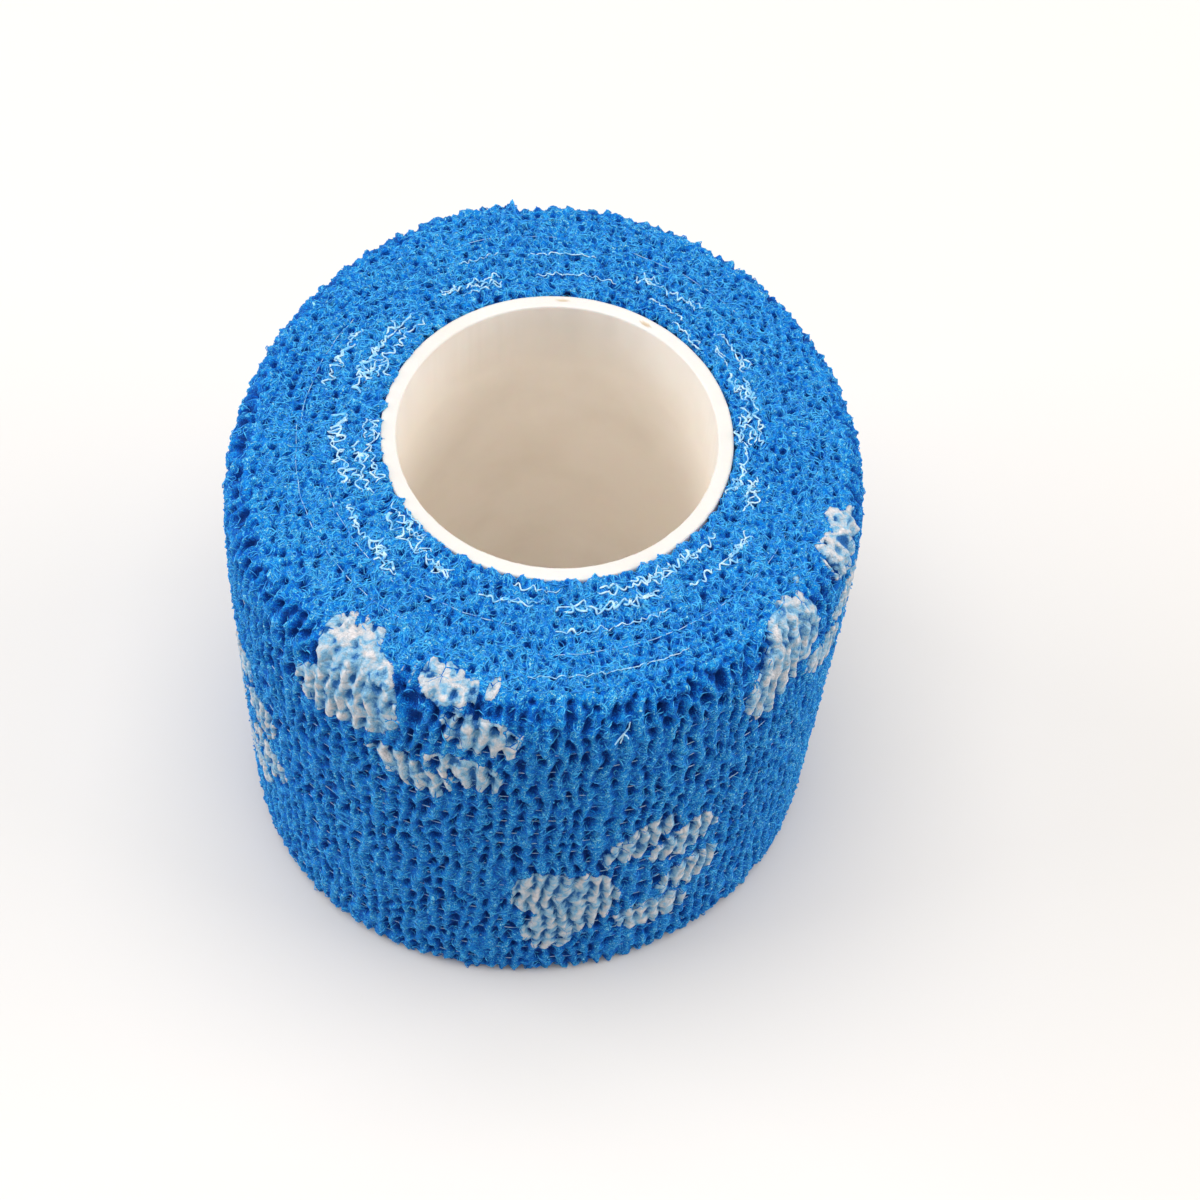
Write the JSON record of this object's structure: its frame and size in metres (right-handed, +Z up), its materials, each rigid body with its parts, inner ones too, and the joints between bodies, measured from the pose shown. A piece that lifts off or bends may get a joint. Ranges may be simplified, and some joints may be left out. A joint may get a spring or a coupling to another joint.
{
  "type": "cohesive bandage roll",
  "caption": "Crinkled elastic self-clinging bandage strip wound on a short hollow core tube, standing on its end, with a paw print pattern.",
  "frame": {"origin": "centre of the box of the face that the roll stands on", "axes": "+Z up along the roll's axis and its core, -Y towards the side shown in front, +X to that side's right"},
  "size_m": [0.0578, 0.059, 0.05],
  "materials": {
    "bandage_cloth": "crinkled nonwoven with raised elastic threads, latex-tacky, matt",
    "core_plastic": "extruded, cut to length, satin"
  },
  "bodies": {
    "root": {"bandage_winding": "bandage_cloth", "core_tube": "core_plastic"}
  },
  "joints": []
}
